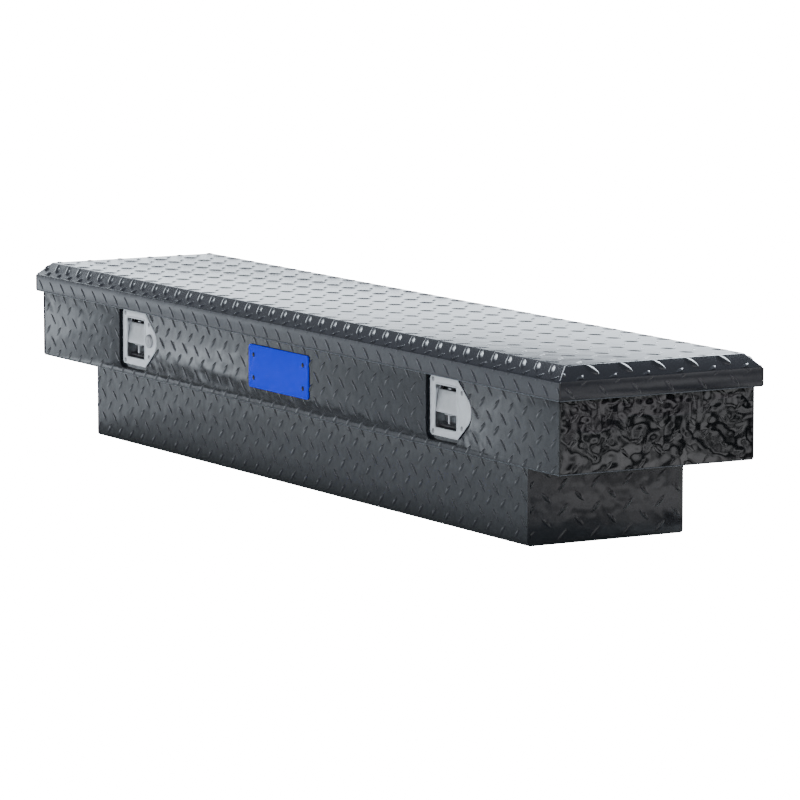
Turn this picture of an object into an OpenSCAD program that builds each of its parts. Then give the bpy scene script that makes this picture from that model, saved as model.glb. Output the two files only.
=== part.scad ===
// Low-profile crossover tool box for a pickup bed: a long upper body whose wings rest on
// the bed rails, a narrower tub that hangs between them, and one foam-filled lid.
// X runs along the box, -Y is the front with the latches, Z is up from the tub's floor.
// The origin is under the middle of the box, in the plane of the tub's underside.

/* [Upper body] */
// Length of the upper body, from wing end to wing end
body_l = 1727; // [1650:1:2080]
// Depth of the upper body, front to back
body_d = 347; // [335:1:520]
// Height of the upper body, from the underside of the wings to the rim
body_h = 133; // [132:1:240]
// Thickness of the body sheet
sheet = 1.6; // [1.2:0.1:2.5]
// Width of the flange that runs round the mouth
rim_w = 16; // [12:0.5:24]
// Depth of the turned-down lip of that flange
rim_lip = 10; // [6:0.5:11]
// Height of the weather seal on the rim
seal_h = 7.2; // [4:0.1:12]
// Width of the weather seal
seal_w = 9; // [6:0.5:10]

/* [Lower tub] */
// Length of the tub between the bed rails
tub_l = 1441; // [1380:1:1480]
// Depth of the tub, front to back
tub_d = 282; // [240:1:292]
// Height of the tub, from its underside to the underside of the wings
tub_h = 129; // [80:1:300]
// Outer bend radius of the tub's long edges
tub_bend = 5; // [3:0.5:10]

/* [Lid] */
// How far the lid stands out over each end
overhang_end = 12.8; // [9:0.1:16]
// How far the lid stands out over the front and the back
overhang_side = 8.4; // [8.4:0.1:12]
// How far the lid's skirt hangs below the rim
skirt_drop = 19.8; // [14:0.1:23]
// Height of the lid, from the skirt's lower edge to the top
lid_h = 50.7; // [46:0.1:80]
// Height of the bevel round the top
bevel_h = 21; // [8:0.5:24]
// Width of the bevel at each end
bevel_end = 19.2; // [8:0.1:40]
// Width of the bevel at the front and the back
bevel_side = 21.9; // [8:0.1:40]
// Thickness of the lid's outer sheet
lid_sheet = 1.6; // [1.2:0.1:2.5]
// Thickness of the lid's inner pan
pan_sheet = 1.2; // [0.8:0.1:2]

/* [Lid hinge] */
// Radius of the hinge's knuckles
knuckle_r = 4; // [3.6:0.1:4]
// Radius of the hinge pin
hinge_pin_r = 2; // [1.5:0.1:2.2]
// Length of one knuckle with its gap
knuckle_pitch = 60; // [40:1:90]
// How far the hinge stops short of each end of the body
hinge_inset = 22; // [15:1:80]
// Height of the hinge leaf that is riveted to the body
leaf_h = 22; // [16:1:40]
// Thickness of both hinge leaves
leaf_t = 1.5; // [1:0.1:1.5]

/* [Latches] */
// Middle of the left latch's window along the box
latch_left_x = -516; // [-600:1:-300]
// Middle of the right latch's window along the box
latch_right_x = 526; // [300:1:600]
// How far the window's middle lies below the rim
latch_drop = 69; // [66:0.5:74]
// Width of the window in the latch plate
window_w = 65; // [50:0.5:70]
// Height of the window
window_h = 67; // [60:0.5:76]
// Height of the latch plate
plate_h = 93; // [86:0.5:100]
// How far the plate reaches left of the window's middle
plate_left = 48; // [42:0.5:56]
// How far the plate's bulge reaches right of the window's middle
plate_right = 76; // [70:0.5:90]
// Radius of the bulge
bulge_r = 26; // [18:0.5:30]
// Margin of bare recess round the plate
recess_margin = 7.5; // [4:0.5:9]
// How far the plate's face lies behind the front sheet's face
plate_depth = 3.6; // [2.6:0.1:6]
// Thickness of the stainless latch plate
plate_t = 1.5; // [1:0.1:2.5]
// Depth of the finger dish behind the plate
dish_depth = 28; // [24:0.5:34]
// How far the paddle swings out, in degrees
paddle_swing = 40; // [20:1:45]

/* [Lock] */
// Radius of the lock's round face
lock_face_r = 12; // [10:0.5:14]
// Radius of the lock's barrel
lock_r = 9.5; // [8:0.5:10]
// Radius of the plug that the key turns
plug_r = 6.5; // [4:0.5:7]

/* [Lid struts] */
// Radius of a gas strut's cylinder
strut_r = 9; // [7:0.5:9]
// Radius of its rod
strut_rod_r = 4; // [3:0.5:5]
// Length of the cylinder, from its pivot
strut_tube_l = 150; // [120:1:160]
// How far the lower pivot lies in front of the lid hinge
strut_base = 227.7; // [180:0.1:240]
// How far the lower pivot lies below the rim
strut_drop = 112; // [90:1:114]
// How far the upper pivot lies in front of the lid hinge
strut_reach = 54; // [50:0.1:60]
// How far the upper pivot lies above the lid hinge
strut_rise = 18.4; // [14:0.1:20]

/* [Name plate] */
// Length of the name plate
badge_l = 199; // [120:1:260]
// Height of the name plate
badge_h = 71; // [40:1:76]
// Thickness of the name plate
badge_t = 2.3; // [1.5:0.1:4]
// How far the name plate's middle lies below the rim
badge_drop = 69.7; // [64:0.1:80]

/* [Tray] */
// Length of the sliding tray
tray_l = 420; // [300:1:600]
// Depth of the tray's bin below the ledges
tray_h = 68; // [40:1:75]
// Wall of the tray
tray_t = 1.5; // [1.2:0.1:3]
// Width of each lip that runs on a ledge
tray_lip = 24; // [18:0.5:25]

/* [Mounting] */
// Radius of the clamp-bolt holes in the wings
clamp_hole_r = 4.35; // [3.2:0.05:6.5]
// Spacing of the two holes in each wing, front to back
clamp_hole_span = 200; // [120:1:240]
// How far the holes lie in from the wing's end
clamp_hole_inset = 70; // [50:1:90]

/* [Hidden] */

// A side is -1 for the left end of the box and 1 for the right end.
left = -1;
right = 1;

// Fits: play of a turning pin, of a fixed pin, and between things that pass each other
turn_play = 0.05;
fixed_play = 0.02;
pass_gap = 0.3;
// Overrun of a cut past the face that it opens
over = 1;

// Heights
rim_z = tub_h + body_h;
ledge_z = tub_h + sheet;
skirt_z = rim_z - skirt_drop;
lid_top = skirt_z + lid_h;
bevel_z = lid_top - bevel_h;
pan_z = rim_z + seal_h + pass_gap;
latch_z = rim_z - latch_drop;

// Faces of the upper body and of the lid
front_y = -body_d / 2;
back_y = body_d / 2;
end_x = body_l / 2;
lid_l = body_l + 2 * overhang_end;
lid_d = body_d + 2 * overhang_side;

// Lid hinge: the axis lies behind the back panel, just under the skirt's edge
hinge_y = back_y + overhang_side - knuckle_r - 0.2;
hinge_z = skirt_z - knuckle_r - 0.6;
hinge_l = body_l - 2 * hinge_inset;
knuckle_n = floor(hinge_l / knuckle_pitch / 2) * 2;
knuckle_step = hinge_l / knuckle_n;
knuckle_gap = 0.5;
strap_inset = 0.5;
leaf_top = hinge_z - knuckle_r - 0.6;
lid_leaf_h = 20;
rivet_every = 2;
rivet_r = 2.4;
rivet_head_r = 4.6;
rivet_head_h = 1.4;

// Latch, in its own frame: x and z from the window's middle, y back from the front face
plate_back = plate_depth + plate_t;
gasket_t = 1;
recess_y = plate_back + gasket_t;
recess_t = 1.2;
recess_back = recess_y + recess_t;
dish_t = 1.2;
dish_inner = plate_back + dish_depth;
dish_back = dish_inner + dish_t;
plate_corner_r = 7;
shoulder_r = 8;
shoulder_x = plate_right - 44;
window_corner_r = 3;
screw_r = 2.2;
screw_head_r = 4;
screw_head_h = 1.2;
screw_end = recess_back + 4;
screw_places = [
    [9.5 - plate_left, plate_h / 2 - 6], [9.5 - plate_left, 6 - plate_h / 2],
    [shoulder_x + 16, 27.5], [shoulder_x + 16, -27.5]
];
lock_x = plate_right - bulge_r + 0.5;
lock_face_h = 2.5;
lock_end = dish_back + 0.7;
cam_l = 22;
cam_w = 12;
cam_t = 3;
key_slot = [2, 8];
key_slot_depth = 3;

// Paddle: a flap with two ears on stub pins, and a tail that trips the hook
paddle_pin_y = 14;
paddle_pin_z = window_h / 2 - 4.8;
paddle_pin_r = 2;
paddle_t = 2;
paddle_side_gap = 0.8;
paddle_w = window_w - 2 * paddle_side_gap;
ear_t = 1.5;
ear_r = 3.4;
flap_h = 36;
flap_drop = 3.1;
flap_y = -4.5;
flap_tilt = 8;
flap_lip = 5;
tail_w = 8;
tail_t = 2;
tail_reach = 22;
tail_slot_w = 11;
tail_slot_top = paddle_pin_z + 3;
tail_slot_low = paddle_pin_z - (dish_back - paddle_pin_y) * tan(paddle_swing) - 2.5;

// Hook: pivots behind the dish, and trips when the tail comes down on its front arm
hook_t = 4;
hook_pin_r = 3;
hook_y = paddle_pin_y + tail_reach + 24;
hook_z = paddle_pin_z - 3.5;
hook_arm = 27;
hook_arm_top = 2;
hook_arm_h = 5;
hook_boss_r = 6.5;
hook_stem = 10;
hook_nose = 8;
hook_nose_h = 7;
hook_top = latch_drop - 11 - hook_z;
cheek_t = 1.5;
cheek_x = 8;
cheek_back = hook_y + 8;
cheek_low = hook_z - 19;
cheek_high = hook_z + 9;
housing_w = 32;
spring_r = 4.2;
spring_wire_r = 0.55;
spring_turns = 4;
spring_pitch = 1.12;

// Striker: a bar between two legs under the lid's pan, just behind the hook's nose
bar_r = 3;
bar_y = hook_y + hook_stem / 2 + hook_nose + 0.5 + bar_r;
bar_z = latch_z + hook_z + hook_top - hook_nose_h - bar_r - 1;
striker_leg_x = 12;
striker_leg_t = 3;
striker_leg_w = 12;
striker_foot = [44, 26, 2];

// Struts, in a plane just inside each end of the mouth
strut_x = end_x - sheet - rim_w - strut_r - 1;
strut_y = hinge_y - strut_base;
strut_z = rim_z - strut_drop;
strut_top_y = hinge_y - strut_reach;
strut_top_z = hinge_z + strut_rise;
strut_l = norm([strut_top_y - strut_y, strut_top_z - strut_z]);
strut_angle = atan2(strut_top_z - strut_z, strut_top_y - strut_y);
stud_r = 4;
stud_gap = 0.4;
low_eye_r = 8;
top_eye_r = 6.5;
eye_t = 10;
tube_wall = 1.4;
tube_start = 10;
neck_r = 4.6;
tube_floor = 14;
tube_guide = 8;
piston_l = 12;
piston_play = 0.1;
bracket_t = 2.5;
bracket_front = 15;
bracket_back = 12;
bracket_low = 8;
bracket_foot = 18;
mount_w = 36;
mount_t = 2.5;
post_r = 7;

// Name plate
badge_z = rim_z - badge_drop;
badge_corner_r = 5;
badge_rivet_inset = 16.5;
badge_rivet_span = 38;
badge_rivet_r = 2.2;
badge_rivet_head_r = 4.4;
badge_rivet_head_h = 1.8;

// Tray
tray_end_gap = 9;
tray_x = tray_l / 2 + tray_end_gap + sheet - tub_l / 2;
tray_bin_d = tub_d - 2 * sheet - 9;
tray_lip_z = ledge_z + pass_gap;
tray_low = tray_lip_z + tray_t - tray_h;
grip_l = 120;
grip_h = 26;
grip_bar = 5;
handle_l = 180;
handle_h = 36;
handle_t = 2.5;

// ---------------------------------------------------------------- shapes used again

// A box from its lowest corner to its highest
module block(low, high) {
    translate(low) cube(high - low);
}

// A flat outline in x and z, made solid from y0 to y1
module slab(y0, y1) {
    translate([0, y1, 0]) rotate([90, 0, 0]) linear_extrude(y1 - y0) children();
}

// A flat outline in y and z, made solid along x and centred on x = 0
module rail(l) {
    rotate([90, 0, 90]) linear_extrude(l, center = true) children();
}

// A round bar along X, centred on x = 0
module x_bar(r, l) {
    rotate([0, 90, 0]) cylinder(r = r, h = l, center = true, $fn = 48);
}

// A round bar along Y, from y0 to y1
module y_bar(r, y0, y1) {
    translate([0, y0, 0]) rotate([-90, 0, 0]) cylinder(r = r, h = y1 - y0, $fn = 48);
}

// A rectangle with round corners, centred
module round_rect(w, h, r) {
    square([w - 2 * r, h], center = true);
    square([w, h - 2 * r], center = true);
    for (sx = [-1, 1], sy = [-1, 1])
        translate([sx * (w / 2 - r), sy * (h / 2 - r)]) circle(r = r, $fn = 48);
}

// A level ring between two centred rectangles, from z0 to z1
module ring(outer_l, outer_d, w, z0, z1) {
    difference() {
        block([-outer_l / 2, -outer_d / 2, z0], [outer_l / 2, outer_d / 2, z1]);
        block(
            [w - outer_l / 2, w - outer_d / 2, z0 - over],
            [outer_l / 2 - w, outer_d / 2 - w, z1 + over]
        );
    }
}

// A bevelled block: straight up from z0 to z1, then sloped in to z2
module bevel_block(l, d, z0, z1, z2) {
    intersection() {
        rail(l)
            polygon([
                [-d / 2, z0], [d / 2, z0], [d / 2, z1], [d / 2 - bevel_side, z2],
                [bevel_side - d / 2, z2], [-d / 2, z1]
            ]);
        slab(-d / 2, d / 2)
            polygon([
                [-l / 2, z0], [l / 2, z0], [l / 2, z1], [l / 2 - bevel_end, z2],
                [bevel_end - l / 2, z2], [-l / 2, z1]
            ]);
    }
}

// ---------------------------------------------------------------- tub and body sheets

// The space inside the tub's bent sheet, t in from its outside, in y and z
module tub_outline(t) {
    r = tub_bend - t;
    translate([t - tub_d / 2, tub_bend]) square([tub_d - 2 * t, tub_h]);
    translate([tub_bend - tub_d / 2, t]) square([tub_d - 2 * tub_bend, tub_h]);
    for (s = [-1, 1])
        translate([s * (tub_d / 2 - tub_bend), tub_bend]) circle(r = r, $fn = 48);
}

// The band of y and z between two heights
module band(z0, z1) {
    translate([-body_d / 2, z0]) square([body_d, z1 - z0]);
}

// Front, floor and back of the tub, with the ledges that run along its mouth
module tub_shell() {
    color("#30333a")
        rail(tub_l)
            difference() {
                union() {
                    intersection() {
                        tub_outline(0);
                        band(0, ledge_z);
                    }
                    translate([sheet - body_d / 2, tub_h])
                        square([body_d - 2 * sheet, sheet]);
                }
                tub_outline(sheet);
            }
}

module tub_end(side) {
    color("#2b2e35")
        translate([side * (tub_l - sheet) / 2, 0, 0])
            rail(sheet)
                intersection() {
                    tub_outline(sheet);
                    band(0, ledge_z);
                }
}

// One wing's floor, with two holes for the clamp bolts
module wing_floor(side) {
    wing_l = end_x - sheet - tub_l / 2;
    color("#2b2e35")
        difference() {
            translate([side * (tub_l + wing_l) / 2, 0, tub_h + sheet / 2])
                cube([wing_l, body_d - 2 * sheet, sheet], center = true);
            for (s = [-1, 1])
                translate([side * (end_x - clamp_hole_inset), s * clamp_hole_span / 2, tub_h])
                    cylinder(r = clamp_hole_r, h = 4 * sheet, center = true, $fn = 48);
        }
}

// Front sheet of the upper body, open behind both latches
module front_panel() {
    color("#3a3d45")
        difference() {
            block([-end_x, front_y, tub_h], [end_x, front_y + sheet, rim_z]);
            for (side = [left, right])
                at_latch(side) slab(-over, sheet + over) plate_outline(recess_margin);
            at_badge() badge_rivet_bars(badge_rivet_r + fixed_play, -over, sheet + over);
        }
}

module back_panel() {
    color("#3a3d45")
        difference() {
            block([-end_x, back_y - sheet, tub_h], [end_x, back_y, rim_z]);
            at_leaf_rivets() y_bar(rivet_r + fixed_play, -sheet - over, over);
        }
}

module end_panel(side) {
    color("#24272d")
        translate([side * (end_x - sheet / 2), 0, (tub_h + rim_z) / 2])
            cube([sheet, body_d - 2 * sheet, body_h], center = true);
}

// Flange round the mouth with its turned-down lip
module rim_frame() {
    mouth_l = body_l - 2 * sheet;
    mouth_d = body_d - 2 * sheet;
    inset = 2 * (rim_w - sheet);
    color("#2b2e35")
        union() {
            ring(mouth_l, mouth_d, rim_w, rim_z - sheet, rim_z);
            ring(mouth_l - inset, mouth_d - inset, sheet, rim_z - rim_lip, rim_z);
        }
}

module weather_seal() {
    inset = 2 * sheet + rim_w - seal_w;
    color("#131416")
        ring(body_l - inset, body_d - inset, seal_w, rim_z, rim_z + seal_h);
}

// ---------------------------------------------------------------- lid

// Outer skin of the lid: skirt, bevel and top in one
module lid_skin() {
    color("#474b57")
        difference() {
            bevel_block(lid_l, lid_d, skirt_z, bevel_z, lid_top);
            lid_space(skirt_z - over, 0);
        }
}

// The space inside the lid's skin from z0 up, g in from its sheet
module lid_space(z0, g) {
    t = 2 * (lid_sheet + g);
    bevel_block(lid_l - t, lid_d - t, z0, bevel_z - lid_sheet / 2 - g, lid_top - t / 2);
}

module lid_pan() {
    color("#3f434d")
        intersection() {
            lid_space(skirt_z, 0);
            block([-lid_l, -lid_d, pan_z], [lid_l, lid_d, pan_z + pan_sheet]);
        }
}

module lid_foam() {
    color("#d8c98f") lid_space(pan_z + pan_sheet, 0.1);
}

// ---------------------------------------------------------------- lid hinge

// Repeats its children at every second knuckle, starting with the first or the second
module each_knuckle(first) {
    for (i = [first : 2 : knuckle_n - 1])
        translate([(i + 0.5) * knuckle_step - hinge_l / 2, 0, 0]) children();
}

// Places of the rivets that hold the body leaf, on the back panel's outer face
module at_leaf_rivets() {
    for (i = [0 : rivet_every : knuckle_n - 1])
        translate([(i + 0.5) * knuckle_step - hinge_l / 2, back_y, leaf_top - leaf_h / 2])
            children();
}

module hinge_leaf_body() {
    l = knuckle_step - knuckle_gap;
    strap = l / 2 - strap_inset;
    color("#b9bcc2")
        difference() {
            union() {
                block(
                    [-hinge_l / 2, back_y, leaf_top - leaf_h],
                    [hinge_l / 2, back_y + leaf_t, leaf_top]
                );
                each_knuckle(0) {
                    translate([0, hinge_y, hinge_z]) x_bar(knuckle_r, l);
                    block([-strap, back_y, leaf_top - over], [strap, back_y + leaf_t, hinge_z - 0.3]);
                    block([-strap, back_y, hinge_z - leaf_t], [strap, hinge_y, hinge_z - 0.3]);
                }
            }
            translate([0, hinge_y, hinge_z])
                x_bar(hinge_pin_r + fixed_play, hinge_l + 2 * over);
            at_leaf_rivets() y_bar(rivet_r + fixed_play, -over, leaf_t + over);
        }
}

module hinge_leaf_lid() {
    l = knuckle_step - knuckle_gap;
    strap = l / 2 - strap_inset;
    inner = lid_d / 2 - lid_sheet;
    color("#b9bcc2")
        difference() {
            union() {
                block(
                    [-hinge_l / 2, inner - leaf_t, skirt_z],
                    [hinge_l / 2, inner, skirt_z + lid_leaf_h]
                );
                each_knuckle(1) {
                    translate([0, hinge_y, hinge_z]) x_bar(knuckle_r, l);
                    block([-strap, inner - leaf_t, hinge_z + 0.3], [strap, inner, skirt_z + over]);
                }
            }
            translate([0, hinge_y, hinge_z])
                x_bar(hinge_pin_r + turn_play, hinge_l + 2 * over);
        }
}

module hinge_pin() {
    color("#d6d8dc") translate([0, hinge_y, hinge_z]) x_bar(hinge_pin_r, hinge_l);
}

module hinge_rivets() {
    color("#c4c7cc")
        at_leaf_rivets() {
            y_bar(rivet_r, -sheet - 1, leaf_t);
            y_bar(rivet_head_r, leaf_t, leaf_t + rivet_head_h);
        }
}

// ---------------------------------------------------------------- name plate

module at_badge() {
    translate([0, front_y, badge_z]) children();
}

// The four rivets' places as bars along Y
module badge_rivet_bars(r, y0, y1) {
    for (sx = [-1, 1], sz = [-1, 1])
        translate([sx * (badge_l / 2 - badge_rivet_inset), 0, sz * badge_rivet_span / 2])
            y_bar(r, y0, y1);
}

module name_plate() {
    color("#0a4fe0")
        at_badge()
            difference() {
                slab(-badge_t, 0) round_rect(badge_l, badge_h, badge_corner_r);
                badge_rivet_bars(badge_rivet_r + fixed_play, -badge_t - over, over);
            }
}

module name_plate_rivets() {
    face = -badge_t;
    color("#17181b")
        at_badge() {
            badge_rivet_bars(badge_rivet_r, face, sheet + 1);
            badge_rivet_bars(badge_rivet_head_r, face - badge_rivet_head_h, face);
        }
}

// ---------------------------------------------------------------- latches

module at_latch(side) {
    x = side == left ? latch_left_x : latch_right_x;
    translate([x, front_y, latch_z]) children();
}

// Outline of the latch plate, grown by g: square at the left, bulged at the right
module plate_outline(g) {
    hull() {
        for (s = [-1, 1]) {
            translate([plate_corner_r - plate_left, s * (plate_h / 2 - plate_corner_r)])
                circle(r = plate_corner_r + g, $fn = 32);
            translate([shoulder_x, s * (plate_h / 2 - shoulder_r)])
                circle(r = shoulder_r + g, $fn = 32);
        }
        translate([plate_right - bulge_r, 0]) circle(r = bulge_r + g, $fn = 64);
    }
}

module window_outline(g) {
    round_rect(window_w + 2 * g, window_h + 2 * g, window_corner_r + g);
}

// The four screws' places as bars along Y
module screw_bars(r, y0, y1) {
    for (p = screw_places) translate([p[0], 0, p[1]]) y_bar(r, y0, y1);
}

// The way of the lock's barrel, which only the left latch has
module lock_way(side, y0, y1) {
    if (side == left) translate([lock_x, 0, 0]) y_bar(lock_r + fixed_play, y0, y1);
}

// Sunk pan behind the front sheet's opening, which carries the latch
module latch_recess(side) {
    color("#24272d")
        at_latch(side)
            difference() {
                slab(sheet, recess_back) plate_outline(recess_margin + recess_t);
                slab(sheet - over, recess_y) plate_outline(recess_margin);
                slab(recess_y - over, recess_back + over) window_outline(dish_t + pass_gap);
                screw_bars(screw_r + fixed_play, recess_y - over, recess_back + over);
                lock_way(side, recess_y - over, recess_back + over);
            }
}

module latch_gasket(side) {
    color("#131416")
        at_latch(side)
            difference() {
                slab(plate_back, recess_y) plate_outline(-1);
                slab(plate_back - over, recess_y + over) window_outline(dish_t + pass_gap);
                screw_bars(screw_r + fixed_play, plate_back - over, recess_y + over);
                lock_way(side, plate_back - over, recess_y + over);
            }
}

module latch_plate(side) {
    color("#c9cbce")
        at_latch(side)
            difference() {
                slab(plate_depth, plate_back) plate_outline(0);
                slab(plate_depth - over, plate_back + over) window_outline(0);
                screw_bars(screw_r + fixed_play, plate_depth - over, plate_back + over);
                lock_way(side, plate_depth - over, plate_back + over);
            }
}

// Finger dish welded behind the plate's window
module latch_dish(side) {
    color("#b9bcc0")
        at_latch(side)
            difference() {
                slab(plate_back, dish_back) window_outline(dish_t);
                slab(plate_back - over, dish_inner) window_outline(0);
                block(
                    [-tail_slot_w / 2, dish_inner - over, tail_slot_low],
                    [tail_slot_w / 2, dish_back + over, tail_slot_top]
                );
                translate([0, paddle_pin_y, paddle_pin_z])
                    x_bar(paddle_pin_r + fixed_play, window_w + 4 * dish_t);
            }
}

module latch_screws(side) {
    color("#9fa2a6")
        at_latch(side) {
            screw_bars(screw_r, plate_depth, screw_end);
            screw_bars(screw_head_r, plate_depth - screw_head_h, plate_depth);
        }
}

// Stub pins through the dish's side walls, with their heads outside
module paddle_pins(side) {
    head_l = 1;
    pin_l = dish_t + paddle_side_gap + ear_t + 1;
    outer = window_w / 2 + dish_t;
    color("#d6d8dc")
        at_latch(side)
            for (s = [-1, 1]) translate([0, paddle_pin_y, paddle_pin_z]) {
                translate([s * (outer - pin_l / 2), 0, 0]) x_bar(paddle_pin_r, pin_l);
                translate([s * (outer + head_l / 2), 0, 0]) x_bar(paddle_pin_r + 1.2, head_l);
            }
}

// Pull flap, in its pin's frame
module paddle(side) {
    ear_x = (paddle_w - ear_t) / 2;
    color("#cfd1d4")
        at_latch(side)
            translate([0, paddle_pin_y, paddle_pin_z])
                difference() {
                    union() {
                        translate([-paddle_w / 2, flap_y, -flap_drop])
                            rotate([-flap_tilt, 0, 0]) {
                                translate([0, 0, -flap_h]) cube([paddle_w, paddle_t, flap_h]);
                                translate([0, 0, -flap_h]) cube([paddle_w, flap_lip, paddle_t]);
                            }
                        for (s = [-1, 1]) translate([s * ear_x, 0, 0]) {
                            x_bar(ear_r, ear_t);
                            rail(ear_t)
                                polygon([
                                    [flap_y, -flap_drop], [0, ear_r], [ear_r, 0],
                                    [flap_y, -flap_h / 2]
                                ]);
                        }
                        block([-tail_w / 2, flap_y, -tail_t / 2],
                            [tail_w / 2, tail_reach, tail_t / 2]);
                        block([-tail_w / 2, flap_y, -flap_drop - over],
                            [tail_w / 2, flap_y + paddle_t, tail_t / 2]);
                    }
                    for (s = [-1, 1])
                        translate([s * ear_x, 0, 0])
                            x_bar(paddle_pin_r + turn_play, ear_t + 2 * over);
                }
}

// Two cheeks behind the dish that carry the hook's pin
module latch_housing(side) {
    color("#8f9297")
        at_latch(side)
            difference() {
                union() {
                    block([-housing_w / 2, dish_back, cheek_low],
                        [housing_w / 2, dish_back + cheek_t, cheek_high]);
                    for (s = [-1, 1])
                        translate([s * (cheek_x + cheek_t / 2), 0, 0])
                            rail(cheek_t)
                                translate([dish_back, cheek_low])
                                    square([cheek_back - dish_back, cheek_high - cheek_low]);
                }
                block([-tail_slot_w / 2, dish_back - over, tail_slot_low],
                    [tail_slot_w / 2, dish_back + cheek_t + over, tail_slot_top]);
                translate([0, hook_y, hook_z])
                    x_bar(hook_pin_r + fixed_play, 2 * (cheek_x + cheek_t + over));
            }
}

module hook_pin(side) {
    color("#d6d8dc")
        at_latch(side)
            translate([0, hook_y, hook_z]) x_bar(hook_pin_r, 2 * (cheek_x + cheek_t + 1));
}

module latch_hook(side) {
    stem_front = -hook_stem / 2;
    color("#a6a9ae")
        at_latch(side)
            translate([0, hook_y, hook_z])
                difference() {
                    union() {
                        x_bar(hook_boss_r, hook_t);
                        rail(hook_t) {
                            translate([-hook_arm, hook_arm_top - hook_arm_h])
                                square([hook_arm, hook_arm_h]);
                            translate([stem_front, 0]) square([hook_stem, hook_top]);
                            polygon([
                                [0, hook_top], [hook_stem / 2 + hook_nose, hook_top - 3],
                                [hook_stem / 2 + hook_nose, hook_top - hook_nose_h],
                                [0, hook_top - hook_nose_h]
                            ]);
                        }
                    }
                    x_bar(hook_pin_r + turn_play, hook_t + 2 * over);
                }
}

// Wound wire round the hook's pin, beside the hook
module hook_spring(side) {
    steps = 14;
    sides = 6;
    rings = spring_turns * steps;
    points = [
        for (i = [0 : rings], j = [0 : sides - 1])
            let (
                turn = 360 * i / steps,
                r = spring_r + spring_wire_r * cos(360 * j / sides),
                x = spring_pitch * i / steps + spring_wire_r * sin(360 * j / sides)
            )
            [x, r * cos(turn), r * sin(turn)]
    ];
    skin = [
        for (i = [0 : rings - 1], j = [0 : sides - 1])
            let (a = i * sides + j, b = i * sides + (j + 1) % sides)
            [a, b, b + sides, a + sides]
    ];
    caps = [
        [for (j = [sides - 1 : -1 : 0]) j],
        [for (j = [0 : sides - 1]) rings * sides + j]
    ];
    color("#85888c")
        at_latch(side)
            translate([hook_t / 2 + spring_wire_r + pass_gap, hook_y, hook_z])
                polyhedron(points, concat(skin, caps));
}

// ---------------------------------------------------------------- lock

module lock_barrel() {
    color("#d0d2d5")
        at_latch(left)
            translate([lock_x, 0, 0])
                difference() {
                    union() {
                        y_bar(lock_face_r, plate_depth - lock_face_h, plate_depth);
                        y_bar(lock_r, plate_depth, dish_inner);
                    }
                    y_bar(plug_r + turn_play, plate_depth - 2 * lock_face_h, dish_inner + over);
                }
}

// Plug that the key turns, with the cam on its back end
module lock_plug() {
    face = plate_depth - lock_face_h;
    color("#b4b6b9")
        at_latch(left)
            translate([lock_x, 0, 0])
                difference() {
                    union() {
                        y_bar(plug_r, face, lock_end);
                        slab(lock_end, lock_end + cam_t) {
                            circle(r = cam_w / 2, $fn = 48);
                            translate([-cam_w / 2, -cam_l]) square([cam_w, cam_l]);
                        }
                    }
                    block([-key_slot[0] / 2, face - over, -key_slot[1] / 2],
                        [key_slot[0] / 2, face + key_slot_depth, key_slot[1] / 2]);
                }
}

// ---------------------------------------------------------------- lid fittings

module striker(side) {
    x = side == left ? latch_left_x : latch_right_x;
    low = bar_z - bar_r - 2;
    color("#a6a9ae")
        translate([x, front_y + bar_y, 0]) {
            block(
                [-striker_foot[0] / 2, -striker_foot[1] / 2, pan_z - striker_foot[2]],
                [striker_foot[0] / 2, striker_foot[1] / 2, pan_z]
            );
            for (s = [-1, 1])
                translate([s * striker_leg_x, 0, (low + pan_z) / 2])
                    cube([striker_leg_t, striker_leg_w, pan_z - low], center = true);
            translate([0, 0, bar_z]) x_bar(bar_r, 2 * striker_leg_x);
        }
}

// Plate that hangs from the lid beside a strut's upper end
module strut_bracket(side) {
    x = side * (strut_x - eye_t / 2 - stud_gap - bracket_t / 2);
    color("#8f9297")
        translate([x, 0, 0]) {
            rail(bracket_t)
                polygon([
                    [strut_top_y - bracket_front, pan_z],
                    [strut_top_y - bracket_front, strut_top_z],
                    [strut_top_y - bracket_front + 6, strut_top_z - bracket_low],
                    [strut_top_y + bracket_back - 6, strut_top_z - bracket_low],
                    [strut_top_y + bracket_back, strut_top_z],
                    [strut_top_y + bracket_back, pan_z]
                ]);
            translate([-side * bracket_foot / 2, strut_top_y, pan_z - bracket_t / 2])
                cube([bracket_foot, 2 * bracket_back, bracket_t], center = true);
        }
}

// ---------------------------------------------------------------- struts

module at_strut(side) {
    translate([side * strut_x, strut_y, strut_z]) children();
}

// Along the strut: +Z of the children points from the lower pivot to the upper
module along_strut(side) {
    at_strut(side) rotate([strut_angle - 90, 0, 0]) children();
}

// Foot on the end panel with the post and stud of the strut's lower pivot
module strut_mount(side) {
    reach = end_x - sheet - strut_x;
    post = reach - eye_t / 2 - pass_gap;
    color("#8f9297")
        at_strut(side) {
            translate([side * (reach - mount_t / 2), 0, 0]) rail(mount_t)
                round_rect(mount_w, mount_w, 4);
            translate([side * (reach - post / 2), 0, 0]) x_bar(post_r, post);
            translate([side * (reach - eye_t) / 2, 0, 0]) x_bar(stud_r, reach + eye_t / 2);
        }
}

module strut_cylinder(side) {
    cavity = strut_tube_l - tube_floor - tube_guide;
    color("#202226")
        difference() {
            union() {
                at_strut(side) x_bar(low_eye_r, eye_t);
                along_strut(side) {
                    cylinder(r = neck_r, h = tube_floor, $fn = 48);
                    translate([0, 0, tube_start])
                        cylinder(r = strut_r, h = strut_tube_l - tube_start, $fn = 64);
                }
            }
            at_strut(side) x_bar(stud_r + turn_play, 3 * eye_t);
            along_strut(side) {
                translate([0, 0, tube_floor])
                    cylinder(r = strut_r - tube_wall, h = cavity, $fn = 64);
                translate([0, 0, tube_floor + over])
                    cylinder(r = strut_rod_r + turn_play, h = strut_tube_l, $fn = 64);
            }
        }
}

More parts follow.
